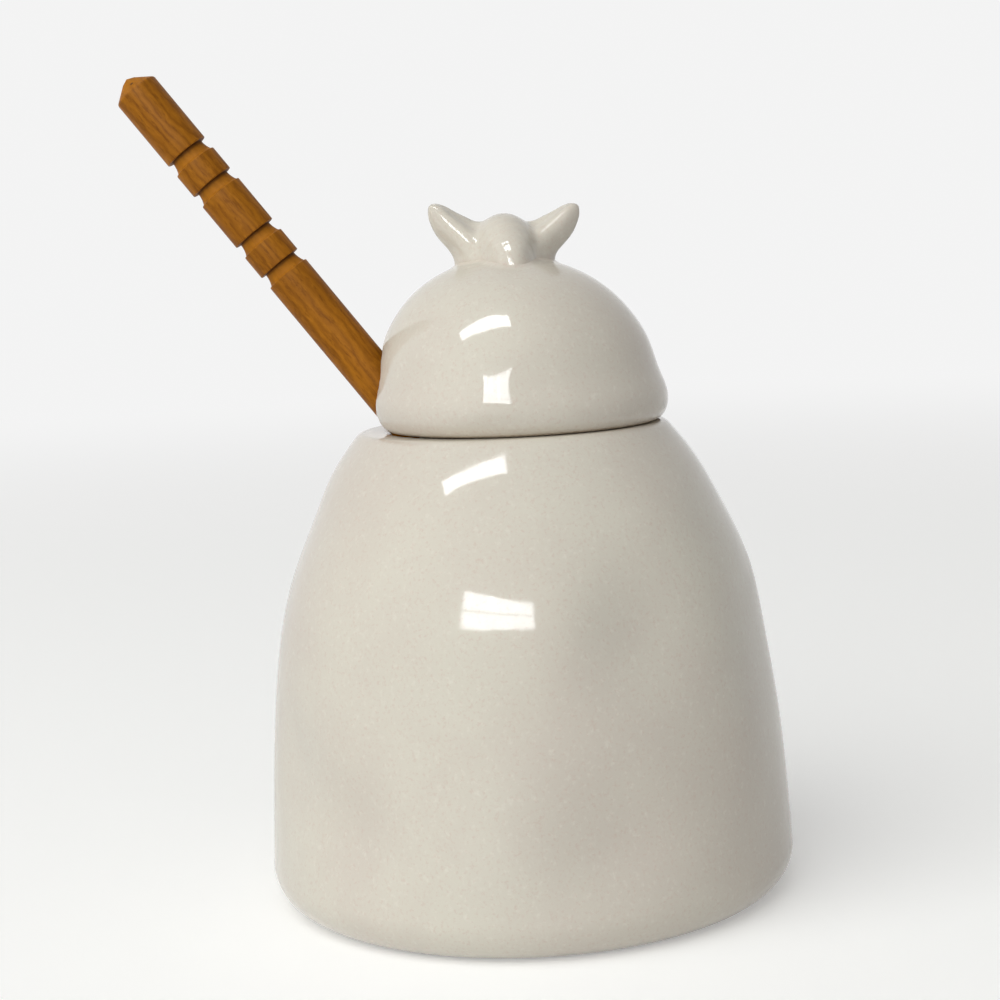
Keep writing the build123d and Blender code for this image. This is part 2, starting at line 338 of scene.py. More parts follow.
def wood_finish(name, seed=0.0, pit=None):
    """Oiled hardwood: yearly rings cut at a slant, streaks and pores along the dipper."""
    tint = bpy.context.scene.pot_finishes
    graph = Graph(bpy.data.materials.new(name))
    turn = (0, LEAN, 0)
    across, deep, high = graph.parts(graph.place((1, 1, 1), turn, (seed, 0, 0)))
    sway = graph.noise(graph.place((1, 1, 0.5), turn, (seed, 0, 0)), 120, 3, 0.6) * 0.0052
    ragged = graph.noise(graph.place((1, 1, 0.4), turn), 800, 2) * 0.0012
    middle = across - seed + high * 0.05 + 0.004
    behind = deep + high * -0.13 + 0.03
    reach = (middle * middle + behind * behind) ** 0.5 + sway + ragged
    rings = (reach * 4200).sum("SINE")
    figure = graph.noise(graph.place((1, 1, 0.07), turn, (seed, 0.013, 0)), 260, 4, 0.65)
    shade = graph.mix(graph.ease(rings, 0.1, 1.0, 0, 0.45), tint.wood, tint.wood_dark)
    shade = graph.mix(graph.ease(rings, -1, -0.3, 0.35, 0), shade, tint.wood_pale)
    shade = graph.mix(graph.ease(figure, 0.45, 0.72, 0, 0.45), shade, tint.wood_pale)
    broad = graph.noise(graph.place((1, 1, 0.3), turn, (seed, 0, 0)), 75, 2)
    shade = graph.mix(graph.ease(broad, 0.35, 0.68, 0, 0.35), shade, tint.wood_dark)
    fleck = graph.noise(graph.place((1, 1, 0.2), turn), 1700, 3, 0.75)
    shade = graph.mix(graph.ease(fleck, 0.5, 0.68, 0, 0.6), shade, tint.wood_dark)
    pale_fleck = graph.noise(graph.place((1, 1, 0.35), turn, (0.3, 0, 0)), 1100, 3, 0.7)
    shade = graph.mix(graph.ease(pale_fleck, 0.5, 0.72, 0, 0.55), shade, tint.wood_pale)
    pore = graph.add("ShaderNodeTexVoronoi", {"feature": "F1"}, {
        "Vector": graph.place((1, 1, 0.12), turn), "Scale": 620})
    pores = graph.ease(graph.out(pore, "Distance"), 0.06, 0.2, 1, 0)
    shade = graph.mix(pores * 0.5, shade, tint.wood_dark)
    cut = graph.marked("cut")
    shade = graph.mix(cut * 0.55, shade, tint.wood_pale)
    # painted shade from the dark mark: under the groove shoulders and between the head's ribs
    shade = graph.mix(graph.marked("dark") * 0.85, shade, GROOVE_SHADE_AND_PIT)
    if pit:
        coords = graph.out(graph.add("ShaderNodeTexCoord"), "Object")
        far = graph.add("ShaderNodeVectorMath", {"operation": "DISTANCE"}, {0: coords, 1: pit})
        pitted = graph.ease(graph.out(far, "Value"), 0.0002, 0.0005, 0.85, 0)
        shade = graph.mix(pitted, shade, GROOVE_SHADE_AND_PIT)
    rough = graph.ease(figure, 0.3, 0.8, 0.42, 0.6) + cut * 0.12
    grain = graph.bump(figure + pores * -0.6, 0.00006, 0.7)
    normal = graph.bump(fleck, 0.00005, 0.6, grain)
    return graph.finish(base_color=shade, roughness=rough, normal=normal, ior=1.2)


# ---------------------------------------------------------------- outlines and meshes
def smooth_line(points, steps, first=None, last=None):
    """Points along a cubic spline through the given points, with its end directions."""
    points = np.array(points, float)
    gaps = np.linalg.norm(np.diff(points, axis=0), axis=1)
    at = np.concatenate(([0], np.cumsum(gaps)))
    count = len(points)
    matrix, right = np.zeros((count, count)), np.zeros((count, 2))
    for k in range(1, count - 1):
        matrix[k, k - 1:k + 2] = 1 / gaps[k - 1], 2 / gaps[k - 1] + 2 / gaps[k], 1 / gaps[k]
        right[k] = 3 * ((points[k] - points[k - 1]) / gaps[k - 1] ** 2
                        + (points[k + 1] - points[k]) / gaps[k] ** 2)
    for row, inner, way, gap in ((0, 1, first, gaps[0]), (count - 1, count - 2, last, gaps[-1])):
        if way is None:
            matrix[row, row], matrix[row, inner] = 2 / gap, 1 / gap
            step = (points[1] - points[0]) if row == 0 else (points[-1] - points[-2])
            right[row] = 3 * step / gap ** 2
        else:
            matrix[row, row] = 1
            right[row] = np.array(way) / np.linalg.norm(way)
    slopes = np.linalg.solve(matrix, right)
    made = []
    for place in np.linspace(0, at[-1], steps):
        k = min(int(np.searchsorted(at, place, side="right")) - 1, count - 2)
        gap = gaps[k]
        t = (place - at[k]) / gap
        made.append((2 * t ** 3 - 3 * t ** 2 + 1) * points[k]
                    + (t ** 3 - 2 * t ** 2 + t) * gap * slopes[k]
                    + (3 * t ** 2 - 2 * t ** 3) * points[k + 1]
                    + (t ** 3 - t ** 2) * gap * slopes[k + 1])
    return [tuple(point) for point in made]


def rounded(points, steps=6):
    """An outline in which a point's third number, if it has one, is its corner's radius."""
    made = []
    for number, (across, up, *radius) in enumerate(points):
        if not radius:
            made.append((across, up))
            continue
        here = Vector((across, up))
        back = (Vector(points[number - 1][:2]) - here).normalized()
        on = (Vector(points[(number + 1) % len(points)][:2]) - here).normalized()
        half = back.angle(on) / 2
        middle = here + (back + on).normalized() * radius[0] / math.sin(half)
        start = here + back * radius[0] / math.tan(half) - middle
        end = here + on * radius[0] / math.tan(half) - middle
        sweep = start.angle(end)
        for step in range(steps + 1):
            share = step / steps
            arm = (start * math.sin((1 - share) * sweep)
                   + end * math.sin(share * sweep)) / math.sin(sweep)
            made.append(tuple(middle + arm))
    return made


def finer(points, longest):
    """The same outline with its long runs divided."""
    made = [points[0]]
    for start, end in zip(points, points[1:]):
        count = max(1, math.ceil(math.dist(start, end) / longest))
        for k in range(1, count + 1):
            made.append(tuple(a + (b - a) * k / count for a, b in zip(start, end)))
    return made


def turned(points, steps, at=(0, 0, 0), axis=(0, 0, 1), side=(1, 0, 0)):
    """A bmesh turned from (radius, height) points about an axis, closed at both poles."""
    axis, side, at = Vector(axis), Vector(side), Vector(at)
    shape = bmesh.new()
    spots = [shape.verts.new(at + side * radius + axis * height) for radius, height in points]
    edges = [shape.edges.new(pair) for pair in zip(spots, spots[1:])]
    bmesh.ops.spin(shape, geom=spots + edges, cent=at, axis=axis, angle=2 * math.pi,
                   steps=steps, use_merge=True)
    bmesh.ops.remove_doubles(shape, verts=shape.verts, dist=1e-5)
    bmesh.ops.recalc_face_normals(shape, faces=shape.faces)
    return shape


def piece(name, shape, smooth=True):
    """An object in millimetres from a bmesh."""
    mesh = bpy.data.meshes.new(name)
    shape.to_mesh(mesh)
    shape.free()
    made = bpy.data.objects.new(name, mesh)
    bpy.context.scene.collection.objects.link(made)
    if smooth:
        mesh.shade_smooth()
    return made


def settled(made, *modifiers):
    """The piece with modifiers applied to its mesh: each is a type and its settings."""
    for kind, settings in modifiers:
        modifier = made.modifiers.new(kind.title(), kind)
        for key, value in settings.items():
            setattr(modifier, key, value)
    bpy.context.view_layer.update()
    graph = bpy.context.evaluated_depsgraph_get()
    mesh = bpy.data.meshes.new_from_object(made.evaluated_get(graph))
    made.modifiers.clear()
    old, made.data = made.data, mesh
    bpy.data.meshes.remove(old)
    mesh.name = made.name
    return made


def places(made):
    """The vertices of a piece as an array."""
    flat = np.empty(len(made.data.vertices) * 3, np.float32)
    made.data.vertices.foreach_get("co", flat)
    return flat.reshape(-1, 3).astype(float)


def move(made, spots):
    """Put the vertices of a piece where the array says."""
    made.data.vertices.foreach_set("co", spots.astype(np.float32).ravel())
    made.data.update()


def axis_parts(spots, foot, axis):
    """How far along an axis each spot lies, and how far from it."""
    arm = spots - np.array(foot)
    along = arm @ np.array(axis)
    return along, np.linalg.norm(arm - along[:, None] * np.array(axis), axis=1)


def facing(made):
    """The vertex normals of a piece."""
    flat = np.empty(len(made.data.vertices) * 3, np.float32)
    made.data.vertex_normals.foreach_get("vector", flat)
    return flat.reshape(-1, 3).astype(float)


def mark(made, name, shares):
    """Keep a number from 0 to 1 for each vertex, for the finish to read."""
    layers = made.data.attributes
    layer = layers.get(name) or layers.new(name, "FLOAT", "POINT")
    layer.data.foreach_set("value", np.clip(shares, 0, 1).astype(np.float32))


def ease(values, low, high):
    """Softly from 0 to 1 as the values go from low to high."""
    share = np.clip((values - low) / (high - low), 0, 1)
    return share * share * (3 - 2 * share)


def ready(made, material, body, slot, *nodes):
    """Scale a finished piece to metres, dress it and seat it on its body."""
    made.data.transform(Matrix.Scale(MM, 4))
    made.data.materials.clear()
    made.data.materials.append(material)
    made.data.shade_smooth()
    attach(made, body)
    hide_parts(*nodes)


def share_points(shares, wide, narrow, low, high):
    """Points of an outline from (height share, radius share) pairs."""
    return [(narrow + (wide - narrow) * out, low + (high - low) * up) for up, out in shares]


# ---------------------------------------------------------------- pot
HIVE_SIDE = [(0.239, 0.950), (0.523, 0.836), (0.665, 0.714), (0.807, 0.473), (0.925, 0.223)]
# gentle hollows in the clay: degrees from the front, height, spread, depth in millimetres
HOLLOWS = [(27, 58, 13, 2.0), (8, 61, 10, -0.9), (-42, 22, 11, 2.1), (-62, 31, 11, 1.6),
           (17, 20, 13, 1.8), (-8, 12, 12, -0.6), (-20, 42, 11, 0.6), (42, 80, 12, -0.9),
           (52, 34, 9, -0.5), (70, 50, 15, 1.2), (128, 55, 18, 1.0), (178, 36, 20, 1.2),
           (-118, 50, 18, 1.0), (-84, 68, 14, 0.6)]
LID_HOLLOWS = [(-13, 9, 6.5, -0.85), (-12, 19, 5, 0.3), (30, 14, 8, 0.3), (150, 12, 8, 0.4)]


def pressed(spots, hollows):
    """How far each spot is pressed in by the hollows."""
    press = np.zeros(len(spots))
    for angle, height, spread, depth in hollows:
        way = math.radians(angle)
        aside = spots[:, 0] * math.cos(way) + spots[:, 1] * math.sin(way)
        ahead = spots[:, 0] * math.sin(way) - spots[:, 1] * math.cos(way)
        far = (aside ** 2 + (spots[:, 2] - height) ** 2) / spread ** 2
        press += depth * np.exp(-far) * (ahead > 0)
    return press


def pot_outline(size):
    """The pot's closed section, from the middle underneath, round the rim, to the floor."""
    foot, corner = size.radius - size.foot_corner, size.foot_corner
    outer = smooth_line([(size.radius, corner), *share_points(
        HIVE_SIDE, size.radius, size.rim_radius, corner, size.height),
        (size.rim_radius, size.height)], 46)
    inner = []
    for low, high in zip(outer[4:-3:3], outer[5:-2:3]):
        way = (Vector(high) - Vector(low)).normalized()
        inner.append((low[0] - size.wall * way.y, low[1] + size.wall * way.x))
    wall, under = size.radius - size.wall, size.height - size.lip
    inner = [spot for spot in inner if 14 < spot[1] < under - 1]
    inner_wall = smooth_line([(wall, 12), *inner], 26, (0, 1))
    ring = foot - size.foot_ring
    line = [(0, size.recess), (ring - size.recess, size.recess), (ring, 0)]
    line += rounded([(foot, 0), (size.radius, 0, corner - 0.01), (size.radius, corner)],
                    12)[:-1] + outer[:-1]
    line += [(size.rim_radius, size.height, size.rim_round),
             (size.mouth_radius, size.height, size.lip_round),
             (size.mouth_radius, under, size.lip_under_round),
             (inner_wall[-1][0] - 1, under), *inner_wall[::-1],
             (wall, size.floor, size.inner_corner), (0, size.floor)]
    return finer(rounded(line, 7), 2.4)


class HONEYPOT_OT_pot(bpy.types.Operator):
    """Turn the hive-shaped pot and press its gentle hollows."""
    bl_idname = "honeypot.pot"
    bl_label = "Pot"

    def execute(self, context):
        size = context.scene.pot_sizes
        pot = piece("hive_pot", turned(pot_outline(size), size.steps))
        spots = places(pot)
        radius = np.hypot(spots[:, 0], spots[:, 1])
        press = pressed(spots, HOLLOWS)
        for k, spot in enumerate(spots):
            press[k] += 0.06 * (1 + noise.noise(Vector(spot) * 0.055))
        press *= ease(spots[:, 2], 5, 20) * ease(spots[:, 2], 88, 76) * size.dent
        inward = spots / np.maximum(radius, 1)[:, None] * np.array((1, 1, 0))
        move(pot, spots - inward * press[:, None])
        mark(pot, "bare", 1 - ease(spots[:, 2], 0.05, 0.5))
        rim = np.exp(-((radius - 29.2) ** 2 + (spots[:, 2] - 91.6) ** 2) / 1.2)
        lip = np.exp(-((radius - 24.2) ** 2 + (spots[:, 2] - 91.9) ** 2) / 0.8)
        mark(pot, "thin_glaze_and_crease_shade", rim * 0.45 + lip * 0.7)
        ready(pot, glaze_finish("cream_glaze"), "pot", "glaze", "pot")
        return {"FINISHED"}


# ---------------------------------------------------------------- lid
DOME_SIDE = [(0.160, 0.963), (0.390, 0.905), (0.585, 0.805), (0.745, 0.670), (0.876, 0.487)]


def rest_point(pot, dipper):
    """Where the dipper's axis passes over the pot's lip."""
    lip = Vector((-(pot.mouth_radius + 1.5), 0, pot.height - 1.5))
    return lip + DIPPER_SIDE * (1.5 + dipper.radius + 0.3)


def dome_line(size, steps=60):
    """Outside of the lid from its top down to the seat, as (radius, height above the rim)."""
    crown = smooth_line([(size.radius, size.widest), *share_points(
        DOME_SIDE, size.radius, 0, size.widest, size.height), (0, size.height)],
        steps, (0, 1), (-1, 0))[::-1]
    edge = []
    for step in range(1, 13):
        turn = step / 12 * math.pi / 2
        edge.append((size.radius - size.edge * (1 - math.cos(turn)),
                     size.widest * (1 - math.sin(turn))))
    return crown + edge


CUTTER_OUT = 34         # reach of the notch's cutter away from the lid
CUTTER_REACH = 32       # and along the dipper, both ways


def lid_base(pot):
    return pot.height + 0.05


def dome_gap(spots, size, base):
    """Signed distance of each spot from the dome, and the nearest place on it."""
    height = spots[:, 2] - base
    across = spots[:, 0] - size.shift + math.tan(size.lean) * height
    radius = np.maximum(np.hypot(across, spots[:, 1]), 1e-6)
    flat = np.stack((radius, height), 1)
    line = np.array(dome_line(size, 220))
    best = np.full(len(flat), 1e9)
    near = np.zeros_like(flat)
    sign = np.ones(len(flat))
    for start, end in zip(line, line[1:]):
        run = end - start
        share = np.clip(((flat - start) @ run) / (run @ run), 0, 1)
        at = start + share[:, None] * run
        far = np.linalg.norm(flat - at, axis=1)
        closer = far < best
        best[closer], near[closer] = far[closer], at[closer]
        out = (flat - at) @ np.array((-run[1], run[0]))
        sign[closer] = np.where(out[closer] >= 0, 1, -1)
    grown = near[:, 0] / radius
    place = np.stack((across * grown + size.shift - math.tan(size.lean) * near[:, 1],
                      spots[:, 1] * grown, near[:, 1] + base), 1)
    return best * sign, place


def notch_gap(spots, rest, radius):
    """Distance of each spot from the notch that the dipper leaves through."""
    arm = spots - np.array(rest)
    out = arm @ np.array(DIPPER_SIDE)
    wide = np.abs(arm[:, 1])
    return np.where(out > 0, np.hypot(out, wide), wide) - radius


def swell(made, gaps, reach):
    """Push a surface out where another one is near, so that the two run together softly."""
    near = np.clip(reach - np.abs(gaps), 0, None)
    return places(made) + facing(made) * (near ** 2 / (4 * reach))[:, None]


def nearest(spots, other, reach):
    """Distance of each spot from another piece's surface, where it is within reach."""
    tree = BVHTree.FromPolygons([tuple(spot) for spot in places(other)],
                                [tuple(face.vertices) for face in other.data.polygons])
    low, high = places(other).min(0) - reach, places(other).max(0) + reach
    gaps = np.full(len(spots), 99.0)
    for k in np.nonzero(np.all((spots > low) & (spots < high), axis=1))[0]:
        found = tree.find_nearest(Vector(spots[k]), reach)
        if found[0] is not None:
            gaps[k] = found[3]
    return gaps


class HONEYPOT_OT_lid(bpy.types.Operator):
    """Turn the domed lid, lean it, cut its notch and soften the edges."""
    bl_idname = "honeypot.lid"
    bl_label = "Lid"

    def execute(self, context):
        scene = context.scene
        size = scene.lid_sizes
        base = lid_base(scene.pot_sizes)
        rest = rest_point(scene.pot_sizes, scene.dipper_sizes)
        ring = size.flange_radius
        inner = size.radius - size.wall
        hollow = smooth_line([(inner, size.widest + 1), *share_points(
            DOME_SIDE, inner, 0, size.widest + 1, size.height - size.wall),
            (0, size.height - size.wall)], 40, (0, 1), (-1, 0))
        bore, low = ring - size.flange_wall, -size.flange_depth
        below = [(ring, 0), (ring, low, size.flange_round), (bore, low, size.flange_round),
                 (bore, size.seat), (inner, size.seat)]
        line = dome_line(size) + rounded(below) + hollow
        lid = piece("domed_lid", turned(line, 144, (size.shift, 0, base)))
        spots = places(lid)
        spots[:, 0] -= np.clip(spots[:, 2] - base, 0, None) * math.tan(size.lean)
        move(lid, spots)

        cutter = bmesh.new()
        circle = bmesh.ops.create_circle(cutter, cap_ends=True, radius=size.notch, segments=64)
        for spot in circle["verts"]:
            if spot.co.x < 1e-4:
                spot.co.x = -CUTTER_OUT
                spot.co.y = math.copysign(size.notch, spot.co.y)
        bmesh.ops.remove_doubles(cutter, verts=cutter.verts, dist=1e-4)
        raised = bmesh.ops.extrude_face_region(cutter, geom=cutter.faces[:])
        top = [v for v in raised["geom"] if isinstance(v, bmesh.types.BMVert)]
        bmesh.ops.translate(cutter, verts=top, vec=(0, 0, 2 * CUTTER_REACH))
        bmesh.ops.translate(cutter, verts=cutter.verts, vec=(0, 0, -CUTTER_REACH))
        turn = Matrix((DIPPER_SIDE, (0, 1, 0), DIPPER_UP)).transposed().to_4x4()
        bmesh.ops.transform(cutter, matrix=Matrix.Translation(rest) @ turn, verts=cutter.verts)
        bmesh.ops.recalc_face_normals(cutter, faces=cutter.faces)
        blade = piece("notch_cutter", cutter, False)
        settled(lid, ("BOOLEAN", {"operation": "DIFFERENCE", "solver": "EXACT",
                                  "object": blade}),
                ("REMESH", {"mode": "VOXEL", "voxel_size": size.grain}))
        bpy.data.objects.remove(blade)
        sharp = places(lid)
        settled(lid, ("SMOOTH", {"factor": 0.5, "iterations": 5}))
        spots = places(lid)
        worn = np.linalg.norm(spots - sharp, axis=1)
        gap, place = dome_gap(spots, size, base)
        keep = ease(notch_gap(spots, rest, size.notch), 0.4, 1.4)
        keep *= (np.abs(gap) < 0.7) * ease(spots[:, 2] - base, 0.2, 1.2)
        spots += (place - spots) * keep[:, None]
        arm = spots - np.array((size.shift, 0, base))
        press = pressed(arm, LID_HOLLOWS) * ease(arm[:, 2], 1, 5)
        spread = np.maximum(np.hypot(arm[:, 0], arm[:, 1]), 1)
        move(lid, spots - arm / spread[:, None] * np.array((1, 1, 0)) * press[:, None])
        notch_edge = ease(worn, 0.1, 0.24) * (1 - keep)
        mark(lid, "thin_glaze_and_crease_shade", notch_edge * (spots[:, 2] > base + 0.4))
        mark(lid, "bare", 1 - ease(spots[:, 2], base + 0.1, base + 0.9))
        scene["lid_name"] = lid.name
        return {"FINISHED"}


# ---------------------------------------------------------------- bee
# a wing from root to tip: (out, up) of its lower and of its upper edge, and half its depth
WING = [((4.0, -4.0), (0.0, 2.6), 3.6), ((8.2, -3.2), (2.6, 4.4), 4.4),
        ((9.4, -1.1), (4.0, 5.5), 4.3),
        ((10.4, 0.9), (5.8, 6.3), 3.85), ((11.6, 2.3), (7.4, 7.2), 3.45),
        ((12.8, 3.7), (9.1, 8.15), 3.05), ((13.7, 5.1), (10.5, 9.05), 2.65),
        ((14.3, 6.5), (11.8, 9.8), 2.3), ((14.7, 7.7), (12.8, 10.15), 1.9),
        ((14.8, 8.7), (13.7, 10.15), 1.3), ((14.7, 9.4), (14.3, 9.9), 0.5)]


def wing_rings(hand, shift, steps=24, sides=32):
    """Loops of points across a wing: a front ridge, a dished upper face, a rounder lower one."""
    edges = [smooth_line([station[edge] for station in WING], steps) for edge in (0, 1)]
    deep = smooth_line([(station[2], number) for number, station in enumerate(WING)], steps)
    rings = []
    for k, (low, high) in enumerate(zip(*edges)):
        middle = (Vector(low) + Vector(high)) / 2
        half = Vector(high) - middle
        ridge = math.radians(100 - 30 * k / (steps - 1))
        ring = []
        for side in range(sides):
            turn = side / sides * 2 * math.pi
            dish = 0.14 + 0.07 * math.cos(turn)
            bulge = 1.03 + dish * math.cos(3 * (turn + ridge))
            spot = middle + half * bulge * math.cos(turn)
            ring.append(Vector((hand * spot.x + shift, deep[k][0] * bulge * math.sin(turn) + 0.9,
                                spot.y)))
        rings.append(ring)
    return rings


def ring_loft(shape, rings):
    """A closed tube through loops of points."""
    last = None
    for ring in rings:
        made = [shape.verts.new(point) for point in ring]
        edges = [shape.edges.new((a, b)) for a, b in zip(made, made[1:] + made[:1])]
        if last:
            bmesh.ops.bridge_loops(shape, edges=last + edges)
        last = edges
    bmesh.ops.holes_fill(shape, edges=shape.edges, sides=0)


class HONEYPOT_OT_bee(bpy.types.Operator):
    """Model the bee on the lid and let it run softly into the dome."""
    bl_idname = "honeypot.bee"
    bl_label = "Bee"

    def execute(self, context):
        scene = context.scene
        size, dome = scene.bee_sizes, scene.lid_sizes
        base = lid_base(scene.pot_sizes)
        top = base + dome.height
        middle = Vector((size.across, -2.0, top + size.rise))
        tail = Vector((math.sin(size.turn), -math.cos(size.nod), -math.sin(size.nod))).normalized()
        back = middle - tail * size.long / 2
        body_line = smooth_line([(0, 0), (0.86 * size.radius, 0.2 * size.long),
                                 (size.radius, 0.46 * size.long),
                                 (0.68 * size.radius, 0.79 * size.long), (0, size.long)],
                                34, (1, 0), (-1, 0.2))
        clay = turned(body_line, 48, back, tail, (1, 0, 0))
        bmesh.ops.create_uvsphere(clay, u_segments=32, v_segments=20, radius=size.head,
                                  matrix=Matrix.Translation(back - Vector((0, 0, size.bow))))
        seat = Matrix.Translation((size.across, 0, top)) @ Matrix.Rotation(size.roll, 4, "Y")
        pair = bmesh.new()
        for hand in (-1, 1):
            ring_loft(pair, wing_rings(hand, -0.65))
        bmesh.ops.transform(pair, verts=pair.verts, matrix=seat)
        bmesh.ops.recalc_face_normals(pair, faces=pair.faces)
        even = ("REMESH", {"mode": "VOXEL", "voxel_size": size.grain})
        trunk, wings = settled(piece("bee", clay), even), settled(piece("wings", pair), even)
        soft = swell(trunk, nearest(places(trunk), wings, size.blend), size.blend)
        move(wings, swell(wings, nearest(places(wings), trunk, size.blend), size.blend))
        move(trunk, soft)
        whole = bmesh.new()
        whole.from_mesh(trunk.data)
        whole.from_mesh(wings.data)
        bpy.data.objects.remove(wings)
        bpy.data.objects.remove(trunk)
        bee = settled(piece("bee", whole), even, ("SMOOTH", {"factor": 0.5, "iterations": 9}))
        lid = bpy.data.objects[scene["lid_name"]]

        spots = places(bee)
        along, aside = axis_parts(spots, back, tail)
        on_body = ease(along, 7.5, 9.5) * (aside < size.radius + 0.6)
        bands = np.sin((along - 7.5) * 2 * math.pi / 2.3) * 0.03 * on_body
        move(bee, spots + facing(bee) * bands[:, None])

        spots = places(lid)
        gaps = nearest(spots, bee, size.settle)
        gaps[dome_gap(spots, dome, base)[0] < -0.5] = 99
        moved = swell(lid, gaps, size.settle)
        move(bee, swell(bee, dome_gap(places(bee), dome, base)[0], size.settle))
        move(lid, moved)
        # near the bee the lid gets the thin-glaze colour: partly a pinkish glaze, partly painted
        # shade in the crease
        joint = nearest(places(lid), bee, 2.2)
        faded = np.array([data.value for data in lid.data.attributes["thin_glaze_and_crease_shade"].data])
        mark(lid, "thin_glaze_and_crease_shade", np.maximum(faded, 0.45 * (1 - ease(joint, 0.2, 2.0))))
        # the bee near the dome: pinkish thin glaze and painted crease shade together
        mark(bee, "thin_glaze_and_crease_shade", 0.45 * (1 - ease(dome_gap(places(bee), dome, base)[0], 0.4, 2.2)))
        ready(bee, glaze_finish("bee_glaze"), "lid", "bee_glaze", "bee_finial")
        ready(lid, glaze_finish("lid_glaze"), "lid", "lid_glaze", "lid")
        return {"FINISHED"}


# ---------------------------------------------------------------- dipper
def dipper_foot():
    """The dipper's lower end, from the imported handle's corners."""
    low, high = (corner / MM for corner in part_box("dipper_handle"))
    size = bpy.context.scene.dipper_sizes
    reach = size.long - size.cone
    return Vector((low.x + reach * math.sin(LEAN) + size.radius * math.cos(LEAN), 0,
                   high.z - reach * math.cos(LEAN) - size.radius * math.sin(LEAN)))


# tip to the square end of each groove, nearest the head first
GROOVES = (45.65, 38.1, 25.45, 17.9)


def handle_line(size):
    """Half section of the handle: tenon, shoulder, grooves that run out, and blunt tip."""
    narrow, top = size.tenon_radius, size.head_long
    lip, deep = size.radius - size.groove_lip, size.radius - size.groove_deep
    line = [(0, top - size.tenon), (narrow, top - size.tenon, 0.3), (narrow, top),
            (size.radius, top, 0.25)]
    for groove in GROOVES:
        end = size.long - groove
        line += [(size.radius, end - size.groove, 0.2), (lip, end - size.groove)]
        for share in (0.25, 0.5, 0.75):
            line.append((lip + (deep - lip) * math.sin(share * math.pi / 2),
                         end - size.groove * (1 - share ** 1.25)))
        line += [(deep, end - 0.12), (deep, end), (size.radius, end, 0.12)]
    line += [(size.radius, size.long - size.cone, 0.6), (1.4, size.long - 0.72, 1.2),
             (0, size.long - 0.1)]
    return finer(rounded(line, 4), 2.2)


def head_line(size):
    """Half section of the head: ribs, widest in the middle, and the bore for the tenon."""
    line = [(0, 0)]
    pitch = (size.head_long - size.rib) / size.ribs
    for rib in range(size.ribs):
        bulge = 1 - (2 * rib / (size.ribs - 1) - 1) ** 2
        wide = size.head_end + (size.head_radius - size.head_end) * bulge
        low = rib * pitch
        if rib:
            line.append((size.core, low, 0.5))
        line += [(wide, low, 1.0), (wide, low + size.rib, 1.0),
                 (size.core, low + size.rib, 0.5)]
    bore, end = size.tenon_radius + 0.05, size.head_long - size.tenon - 0.05
    line += [(size.core, size.head_long, 1.0), (bore, size.head_long), (bore, end), (0, end)]
    return finer(rounded(line, 4), 2.6)


class HONEYPOT_OT_dipper(bpy.types.Operator):
    """Turn the dipper's grooved handle and ribbed head."""
    bl_idname = "honeypot.dipper"
    bl_label = "Dipper"

    def execute(self, context):
        size = context.scene.dipper_sizes
        foot = dipper_foot()
        handle, head = (piece(name, turned(line, size.steps, foot, DIPPER_UP, DIPPER_SIDE))
                        for name, line in (("handle", handle_line(size)),
                                           ("ribbed_head", head_line(size))))
        up, out = axis_parts(places(handle), foot, DIPPER_UP)
        shoulder = np.min([np.abs(up - size.long + groove + 0.15) for groove in GROOVES], axis=0)
        mark(handle, "cut", ease(size.radius - out, 0.12, 0.5))
        # painted shadow under the tip-side shoulder of each groove
        mark(handle, "dark", ease(shoulder, 0.75, 0.1) * ease(size.radius - out, 0.15, 0.7))
        pit = foot + DIPPER_UP * (size.long - 1.9) + DIPPER_SIDE * 0.5 + Vector((0, -2.8, 0))
        ready(handle, wood_finish("handle_wood", 0.0, tuple(pit * MM)), "dipper", "handle_wood",
              "dipper_handle")

        up, out = axis_parts(places(head), foot, DIPPER_UP)
        mark(head, "cut", ease(up, 0.6, 0.1) * 0.8)
        # painted shade in the hollows between the head's ribs
        mark(head, "dark", ease(out, 8.0, 6.1) * 0.35 * (up > 1))
        ready(head, wood_finish("head_wood", 0.21), "dipper", "head_wood", "dipper_head")
        return {"FINISHED"}


# ---------------------------------------------------------------- stage
BACKDROP = (0.90, 0.90, 0.90)
FLOOR_LIFT = (0.31, 0.31, 0.31)     # brings the lit floor up to the backdrop
WINDOW_TINT = (0.96, 0.98, 1)
EYE = (0, -0.4024, 0.1298)
EYE_TURNS = (-0.444, 7.408, -2.929)     # degrees of yaw, downward pitch and roll


def lamp(name, azimuth, height, size, strength, far=1.6, roll=0.0, tint=(1, 1, 1),
         seen=(1, 1)):
    """An area lamp aimed at the pot: degrees to the right of the front, degrees up."""
    data = bpy.data.lights.new(name, "AREA")
    data.shape = "RECTANGLE"
    data.size, data.size_y = size
    data.energy = strength * size[0] * size[1] * math.pi
    data.color = tint
    made = bpy.data.objects.new(name, data)
    bpy.context.scene.collection.objects.link(made)
    turn, up = math.radians(azimuth), math.radians(height)
    way = Vector((math.sin(turn) * math.cos(up), -math.cos(turn) * math.cos(up), math.sin(up)))
    aimed = (-way).to_track_quat("-Z", "Y").to_matrix() @ Matrix.Rotation(
        math.radians(roll), 3, "Z")
    made.location = Vector((0, 0, 0.06)) + way * far
    made.rotation_euler = aimed.to_euler()
    made.visible_diffuse, made.visible_glossy = seen
    return made


